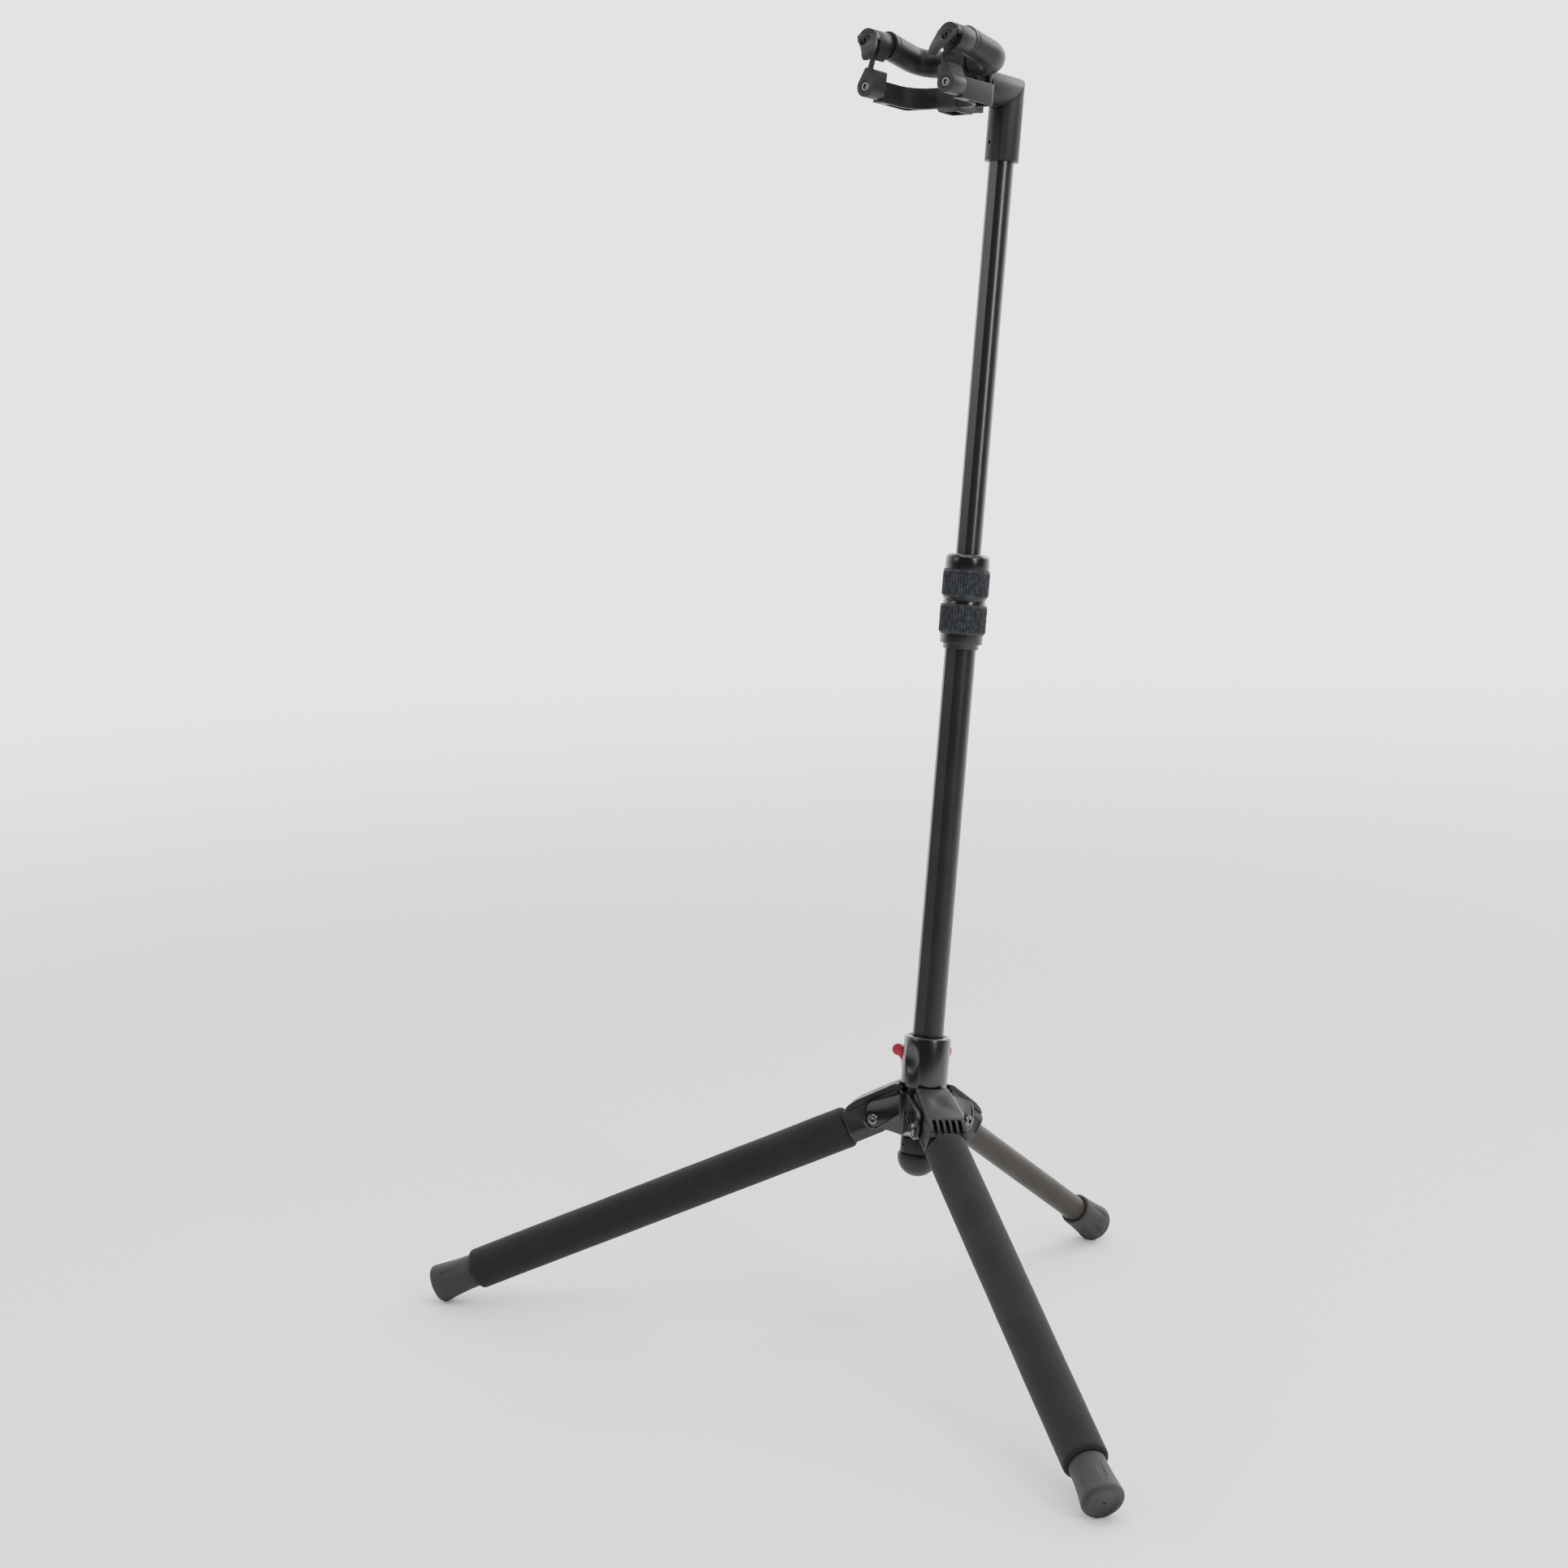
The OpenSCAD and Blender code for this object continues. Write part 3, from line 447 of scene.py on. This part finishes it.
for label, start, length, body, top_rim in (("lower", 0.4475, 0.0285, "base", 0.0026),
                                            ("upper", 0.4825, 0.0265, "nut", 0.0030)):
    blank = bpy.data.objects.new(label + " grip ribs", bpy.data.meshes.new(label + " grip ribs"))
    bpy.context.scene.collection.objects.link(blank)
    tree = blank.modifiers.new("ribs", "NODES")
    tree.node_group = ribs
    low_rim = 0.0022
    for key, value in (("Count", 50), ("Radius", 0.02165), ("Bar radius", 0.00092),
                       ("Length", length - top_rim - low_rim), ("Material", grip_rubber)):
        tree[numbers[key]] = value
    bpy.context.view_layer.update()
    bars = bpy.data.meshes.new_from_object(blank.evaluated_get(bpy.context.evaluated_depsgraph_get()))
    bpy.data.objects.remove(blank)
    bars.transform(mast @ Matrix.Translation((0, 0, start + low_rim + (length - top_rim - low_rim) / 2)))
    bars.shade_smooth()
    bars.set_sharp_from_angle(angle=math.radians(50))
    end = start + length
    profile = [(start, 0.0206), (start + 0.0001, 0.0209), (start + low_rim, 0.0219),
               (start + low_rim + 0.0002, 0.02165), (end - top_rim - 0.0002, 0.02165), (end - top_rim, 0.0222),
               (end - 0.0009, 0.02235), (end - 0.0002, 0.0220), (end, 0.0214), (end, 0.0206)]
    grip = turned(label + "_grip_ribbed", profile, mast, "Z", body, grip_rubber, 200)
    bm = bmesh.new()
    bm.from_mesh(grip.data)
    bm.from_mesh(bars)
    bm.to_mesh(grip.data)
    bm.free()
    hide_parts(label + "_grip")

# ---------------------------------------------------------------- upper mast
# The sliding tube has a smoother satin coat and the same flat along its front.
# A nylon bush on its lower end guides it.
satin_coat = finish("satin coat", (0.0085, 0.0095, 0.011), 0.27, 1500, 0.03, rough_to=0.31, gloss=0.6)
carry("upper_tube", satin_coat)
carry("guide_bush", nylon)

# ---------------------------------------------------------------- elbow and head frame
# A mitred elbow, fixed by a small screw, carries the head frame: a housing with
# a flat U band. A block slides in the frame's tower on a return spring.
eased("elbow", 0.0006, dark_plastic)
eased("head_frame", 0.0008, dark_plastic)
eased("slide_block", 0.0012, dark_plastic)
carry("elbow_screw", dark_steel)
carry("frame_screws", dark_steel)
carry("return_spring", bright_steel)
carry("yoke_core", dark_plastic)

# ---------------------------------------------------------------- arm sleeves
# A thick rubber sleeve follows each arm out of the block, round its bend and
# forward. It has a rounded inner end, and a groove before the ring at its tip.
yoke_rubber = finish("yoke rubber", (0.0065, 0.0072, 0.0085), 0.48, 2000, 0.4, speck=(0.05, 0.055, 0.06),
                     wear_to=(0.009, 0.01, 0.0115), gloss=0.3)
for side, label in ((-1, "left"), (1, "right")):
    bend, out, rise = 0.022, 0.0109, math.radians(9.8)
    path = mast @ Matrix.Translation((0.071, 0, 0.9725)) @ Matrix.Rotation(-rise, 4, "Y")
    total = out + bend * math.pi / 2 + 0.0338
    outline = [(0, 0.0060), (0, 0.0108), (0.0003, 0.0116), (0.0009, 0.0122), (0.0019, 0.0125)]
    outline += [(0.0019 + (total - 0.0091) * k / 64, 0.0125) for k in range(1, 65)]
    outline += [(total - 0.0068, 0.01245), (total - 0.0064, 0.0121), (total - 0.0057, 0.0121),
                (total - 0.0053, 0.0125), (total - 0.0049, 0.0127), (total - 0.0013, 0.0127),
                (total - 0.0005, 0.0124), (total - 0.0002, 0.0118)]
    outline += [(total - 0.0002 - (total - 0.0002) * k / 40, 0.0060) for k in range(40)]
    bm = bmesh.new()
    rings = []
    for s, r in outline:
        turn = min(max((s - out) / bend, 0), math.pi / 2)
        rest = max(s - out - bend * math.pi / 2, 0)
        x = bend * (1 - math.cos(turn)) + rest
        y = 0.0131 + min(s, out) + bend * math.sin(turn)
        flat = min(max((s - total + 0.012) / 0.011, 0), 1) * math.tan(rise)
        ring = []
        for i in range(96):
            a = math.tau * i / 96
            dimple = noise.noise(Vector((s * 300, math.cos(a) * 3, math.sin(a) * 3)))
            reach = r + (0.00005 * dimple if r > 0.012 else 0)
            over, up = reach * math.cos(a), reach * math.sin(a)
            spot = Vector((x + over * math.cos(turn) + up * flat, side * (y - over * math.sin(turn)), up))
            ring.append(bm.verts.new(path @ spot))
        rings.append(ring)
    for k, one in enumerate(rings):
        two = rings[(k + 1) % len(rings)]
        for i in range(96):
            bm.faces.new((one[i], one[(i + 1) % 96], two[(i + 1) % 96], two[i]))
    bmesh.ops.recalc_face_normals(bm, faces=bm.faces)
    mesh = bpy.data.meshes.new("sleeve_" + label + "_moulded")
    bm.to_mesh(mesh)
    bm.free()
    mesh.shade_smooth()
    mesh.set_sharp_from_angle(angle=math.radians(50))
    mesh.materials.append(yoke_rubber)
    sleeve = bpy.data.objects.new("sleeve_" + label + "_moulded", mesh)
    bpy.context.scene.collection.objects.link(sleeve)
    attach(sleeve, "yoke")
    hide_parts("sleeve_" + label)

# ---------------------------------------------------------------- claws and links
# A claw turns on each arm's tip and a link on each end of the band, held by
# screws. The link's tongue stands in the claw's slot and turns it.
for side in ("left", "right"):
    eased("claw_" + side, 0.0009, dark_plastic)
    eased("link_" + side, 0.0009, dark_plastic)
eased("link_screws", 0.0003, bolt_steel)
eased("claw_screws", 0.0002, dark_steel)

# ---------------------------------------------------------------- floor
# A pale disc that fades out away from the stand, so that its soft shadow
# grounds it and no horizon shows.
bpy.ops.mesh.primitive_circle_add(vertices=128, radius=6, fill_type="NGON", location=(0, 0, 0))
floor = bpy.context.object
floor.name = "floor"
paper = finish("pale floor", (0.93, 0.93, 0.93), 0.8)
nodes, join = paper.node_tree.nodes, paper.node_tree.links.new
spot = nodes.new("ShaderNodeTexCoord")
away = nodes.new("ShaderNodeVectorMath")
away.operation = "LENGTH"
fade = nodes.new("ShaderNodeMapRange")
fade.interpolation_type = "SMOOTHERSTEP"
for label, value in (("From Min", 0.8), ("From Max", 4.5), ("To Min", 1.0), ("To Max", 0.0)):
    fade.inputs[label].default_value = value
join(spot.outputs["Object"], away.inputs[0])
join(away.outputs["Value"], fade.inputs["Value"])
join(fade.outputs["Result"], nodes["Principled BSDF"].inputs["Alpha"])
floor.data.materials.append(paper)

# ---------------------------------------------------------------- light
# A white backdrop glows behind the stand and the room in front of it is dim,
# so black surfaces stay black and their edges catch light. Soft boxes add the rest.
world = bpy.data.worlds.new("studio")
world.use_nodes = True
nodes, join = world.node_tree.nodes, world.node_tree.links.new
way = nodes.new("ShaderNodeTexCoord")
facing = nodes.new("ShaderNodeVectorMath")
facing.operation = "DOT_PRODUCT"
facing.inputs[1].default_value = (-0.66, 0.73, -0.18)
glow = nodes.new("ShaderNodeMapRange")
glow.interpolation_type = "SMOOTHSTEP"
for label, value in (("From Min", -0.35), ("From Max", 0.75), ("To Min", 0.17), ("To Max", 3.0)):
    glow.inputs[label].default_value = value
join(way.outputs["Generated"], facing.inputs[0])
join(facing.outputs["Value"], glow.inputs["Value"])
join(glow.outputs["Result"], nodes["Background"].inputs["Strength"])
nodes["Background"].inputs["Color"].default_value = (1, 1, 1, 1)
bpy.context.scene.world = world
for name, spot, power, size in (("key", (2.6, 0.4, 2.6), 28, 1.2), ("strip", (0.6, 3.0, 2.4), 40, 1.2),
                                ("fill", (-1.6, -3.0, 2.2), 26, 1.6), ("top", (0.3, -0.4, 4.2), 110, 3.0),
                                ("side", (2.3, -0.4, 1.5), 24, 0.35)):
    light = bpy.data.lights.new(name, "AREA")
    light.energy = power
    light.size = size
    if name == "side":
        light.shape = "RECTANGLE"
        light.size_y = 1.3
    lamp = bpy.data.objects.new(name, light)
    bpy.context.scene.collection.objects.link(lamp)
    lamp.location = spot
    lamp.rotation_euler = (Vector((0, 0, 0.6)) - Vector(spot)).to_track_quat("-Z", "Y").to_euler()

# ---------------------------------------------------------------- camera
# Slightly above the yoke, in front of the stand and to its right.
lens = bpy.data.cameras.new("camera")
lens.sensor_width = 36.0
lens.lens = 68.0
camera = bpy.data.objects.new("camera", lens)
bpy.context.scene.collection.objects.link(camera)
camera.matrix_world = Matrix(((0.7447, -0.1081, 0.6586, 1.748), (0.6669, 0.1594, -0.7279, -2.119 - 0.00145),
                              (-0.0263, 0.9813, 0.1908, 1.066 - 0.002), (0, 0, 0, 1)))
bpy.context.scene.camera = camera
